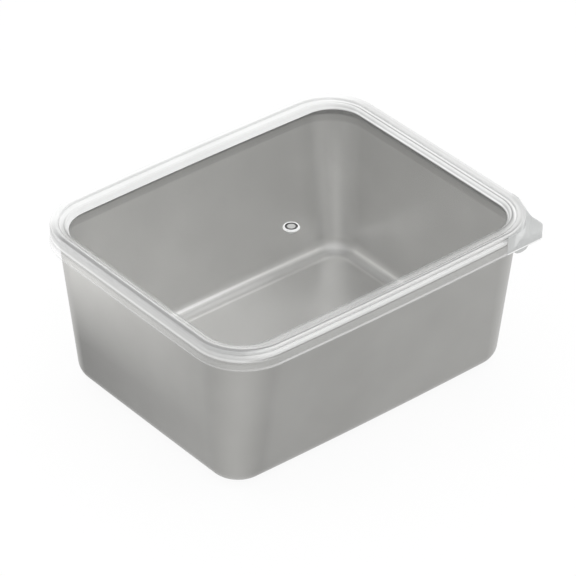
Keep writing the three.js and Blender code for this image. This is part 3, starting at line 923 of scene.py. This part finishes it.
def make_plug():
    """A section turned about the vent's axis: domed head, stem through the panel and a bulb below
    it."""
    head, stem, bulb = COLLAR_INNER - CLEARANCE, VENT_HOLE - CLEARANCE, PLUG_BULB
    head_under = PANEL + CLEARANCE
    head_top = head_under + PLUG_HEAD
    bulb_top = PANEL - LID_WALL - PLUG_TRAVEL - CLEARANCE
    foot = bulb_top - PLUG_BULB_HEIGHT
    section = softened(
        [(0.3, foot), (bulb * 0.7, foot), (bulb, bulb_top - 0.4), (bulb, bulb_top), (stem, bulb_top),
         (stem, head_under), (head, head_under), (head, head_top - 0.15), (head * 0.7, head_top),
         (0.3, head_top)],
        [0, 0.5, 0.3, 0.15, 0.1, 0.1, 0.12, 0.25, 0.6, 0], 6,
    )
    around = np.linspace(0, 2 * np.pi, PLUG_STEPS, endpoint=False)
    radius, level = section.T
    x = VENT_X + radius[:, None] * np.cos(around)
    y = VENT_Y + radius[:, None] * np.sin(around)
    table = np.stack([x, y, np.broadcast_to(level[:, None], x.shape)], axis=-1)
    count = len(table)
    numbers = np.arange(count * len(around)).reshape(count, len(around))
    faces = np.concatenate([band_faces(numbers[i], numbers[i + 1]) for i in range(count - 1)])
    caps = [numbers[0][::-1].tolist(), numbers[-1].tolist()]
    # The head's rim is painted near black as shade and its top lighter as painted light
    silicones = [PLUG, PLUG_PAINTED_SHADE, PLUG_TOP_PAINTED_LIGHT]
    body_kind, shade_kind, top_kind = range(len(silicones))
    head_kinds = np.where(radius[1:] > PLUG_FLAT * head, shade_kind, top_kind)
    kinds = np.where(level[1:] > head_under, head_kinds, body_kind)
    indices = np.append(np.repeat(kinds, len(around)), [body_kind, top_kind])
    points = table.reshape(-1, 3)
    return make_piece("vent_plug_soft", points, faces.tolist() + caps, silicones, indices)


plug = make_plug()
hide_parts("vent_plug")
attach(plug, "vent")


# Floor, light and camera
FLOOR_WHITE = 0.92
FLOOR_HALF, FLOOR_LEVEL = 4000.0, -0.2
FLOOR_OPENING = 0.6


def background_rays(tree, path):
    """1 for rays that show the background: to the camera, in metal and gloss, and through clear
    pieces."""
    shown = path.outputs["Is Camera Ray"]
    for kind in ("Is Glossy Ray", "Is Transmission Ray"):
        either = node(tree, "ShaderNodeMath", operation="MAXIMUM")
        tree.links.new(shown, either.inputs[0])
        tree.links.new(path.outputs[kind], either.inputs[1])
        shown = either.outputs[0]
    return shown


def white_floor():
    """A pale floor that is white where nothing shades it, and open when it is seen from below and to
    the base that stands on it."""
    material, tree, shader = new_material("white_floor")
    shader.inputs["Base Color"].default_value = (0.92, 0.92, 0.92, 1)
    shader.inputs["Roughness"].default_value = 0.9
    shader.inputs["Specular IOR Level"].default_value = 0.0
    path = tree.nodes.new("ShaderNodeLightPath")
    glow = node(tree, "ShaderNodeEmission", Strength=1.0)
    glow.inputs["Color"].default_value = (1, 1, 1, 1)
    share = node(tree, "ShaderNodeMath", operation="MULTIPLY")
    share.inputs[1].default_value = FLOOR_WHITE
    tree.links.new(background_rays(tree, path), share.inputs[0])
    blend = tree.nodes.new("ShaderNodeMixShader")
    tree.links.new(share.outputs[0], blend.inputs[0])
    tree.links.new(shader.outputs[0], blend.inputs[1])
    tree.links.new(glow.outputs[0], blend.inputs[2])
    side = tree.nodes.new("ShaderNodeNewGeometry")
    open_ = tree.nodes.new("ShaderNodeBsdfTransparent")
    under = node(tree, "ShaderNodeMath", operation="LESS_THAN")
    under.inputs[1].default_value = FLOOR_OPENING * MM
    tree.links.new(path.outputs["Ray Length"], under.inputs[0])
    passed = node(tree, "ShaderNodeMath", operation="MAXIMUM")
    tree.links.new(side.outputs["Backfacing"], passed.inputs[0])
    tree.links.new(under.outputs[0], passed.inputs[1])
    below = tree.nodes.new("ShaderNodeMixShader")
    tree.links.new(passed.outputs[0], below.inputs[0])
    tree.links.new(blend.outputs[0], below.inputs[1])
    tree.links.new(open_.outputs[0], below.inputs[2])
    tree.links.new(below.outputs[0], tree.nodes["Material Output"].inputs["Surface"])
    return material


def make_floor():
    """One large flat square just under the base."""
    reach = [-FLOOR_HALF, FLOOR_HALF]
    u, v = np.meshgrid(reach, reach)
    points = np.stack([u, v, np.full(u.shape, FLOOR_LEVEL)], axis=-1).reshape(-1, 3)
    return make_piece("floor", points, [[0, 1, 3, 2]], [white_floor()])


make_floor()

STUDIO_FRONT, STUDIO_BACK = 0.5, 1.1


def make_studio():
    """The room: white to the camera, in metal and through clear pieces, and for other light a soft
    gradient that is bright overhead and at the back and grey at the front."""
    world = bpy.data.worlds.new("studio")
    bpy.context.scene.world = world
    world.use_nodes = True
    tree = world.node_tree
    room = tree.nodes["Background"]
    room.inputs["Strength"].default_value = 1.0
    place = tree.nodes.new("ShaderNodeTexCoord")
    towards = node(tree, "ShaderNodeVectorMath", operation="DOT_PRODUCT")
    towards.inputs[1].default_value = Vector((0.65, 0.2, 0.73)).normalized()
    tree.links.new(place.outputs["Generated"], towards.inputs[0])
    level = spread(tree, towards.outputs["Value"], -0.5, 0.7, STUDIO_FRONT, STUDIO_BACK)
    tree.links.new(level, room.inputs["Color"])
    white = node(tree, "ShaderNodeBackground", Strength=1.0)
    white.inputs["Color"].default_value = (1, 1, 1, 1)
    path = tree.nodes.new("ShaderNodeLightPath")
    choose = tree.nodes.new("ShaderNodeMixShader")
    tree.links.new(background_rays(tree, path), choose.inputs[0])
    tree.links.new(room.outputs[0], choose.inputs[1])
    tree.links.new(white.outputs[0], choose.inputs[2])
    tree.links.new(choose.outputs[0], tree.nodes["World Output"].inputs["Surface"])


make_studio()


def soft_lamp(name, place, aim, size, power):
    """A square soft box at a place, turned to a point."""
    lamp = bpy.data.lights.new(name, "AREA")
    lamp.size = size
    lamp.energy = power
    obj = bpy.data.objects.new(name, lamp)
    bpy.context.scene.collection.objects.link(obj)
    obj.location = place
    obj.rotation_euler = (Vector(aim) - Vector(place)).to_track_quat("-Z", "Y").to_euler()


soft_lamp("top_box", (0.1, 0.05, 1.35), (0, 0, 0.05), 1.4, 4.2)
soft_lamp("left_box", (-0.29, 0.29, 0.19), (-0.05, 0.03, 0.1), 0.16, 0.13)
soft_lamp("low_left_box", (-0.27, 0.26, 0.1), (-0.116, 0.07, 0.09), 0.26, 0.1)
soft_lamp("front_box", (-0.25, -0.8, 0.5), (-0.05, -0.1, 0.05), 0.8, 1.1)

# A long lens, set back along the photo's line of view
EYE_DISTANCE = 2.234
camera = bpy.data.cameras.new("camera")
camera.sensor_width = 36
camera.lens = 240.1
camera.clip_end = 50
camera.shift_x = -0.0006
camera.shift_y = 0.0061
eye = bpy.data.objects.new("camera", camera)
bpy.context.scene.collection.objects.link(eye)
target = Vector((0, 0, 0.05175))
back = Vector((-0.5213, -0.6343, 0.5709)).normalized()
eye.location = target + back * EYE_DISTANCE
eye.rotation_euler = (-back).to_track_quat("-Z", "Y").to_euler()
bpy.context.scene.camera = eye
bpy.context.scene.view_settings.view_transform = "Standard"
